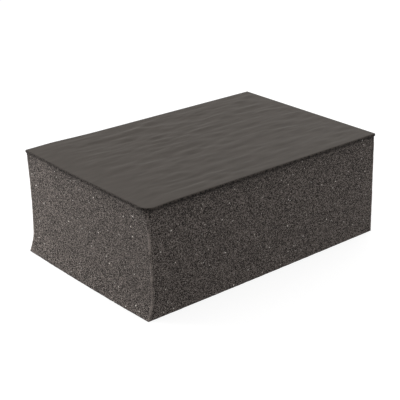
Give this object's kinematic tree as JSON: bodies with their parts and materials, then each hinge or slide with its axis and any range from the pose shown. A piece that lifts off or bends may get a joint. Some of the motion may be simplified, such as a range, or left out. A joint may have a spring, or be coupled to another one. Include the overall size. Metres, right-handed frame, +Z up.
{
  "type": "detailing clay sponge",
  "caption": "Hand-held rectangular foam block with a thin sheet of polymer clay bonded over its top face, for cleaning vehicle paint and glass.",
  "frame": {"origin": "middle of the base that the block rests on", "axes": "+X along the block's length, away from the end with the hollow; +Y across its width; +Z up, from the foam to the clay"},
  "size_m": [0.1016, 0.0654, 0.0367],
  "materials": {
    "foam": "cut open-cell polyurethane foam, dark warm grey, matt, with fine cells that glint here and there",
    "clay": "rubbery polymer clay, dark grey, satin, with faint long ripples"
  },
  "bodies": {
    "root": {"foam_block": "foam", "clay_sheet": "clay"}
  },
  "joints": []
}
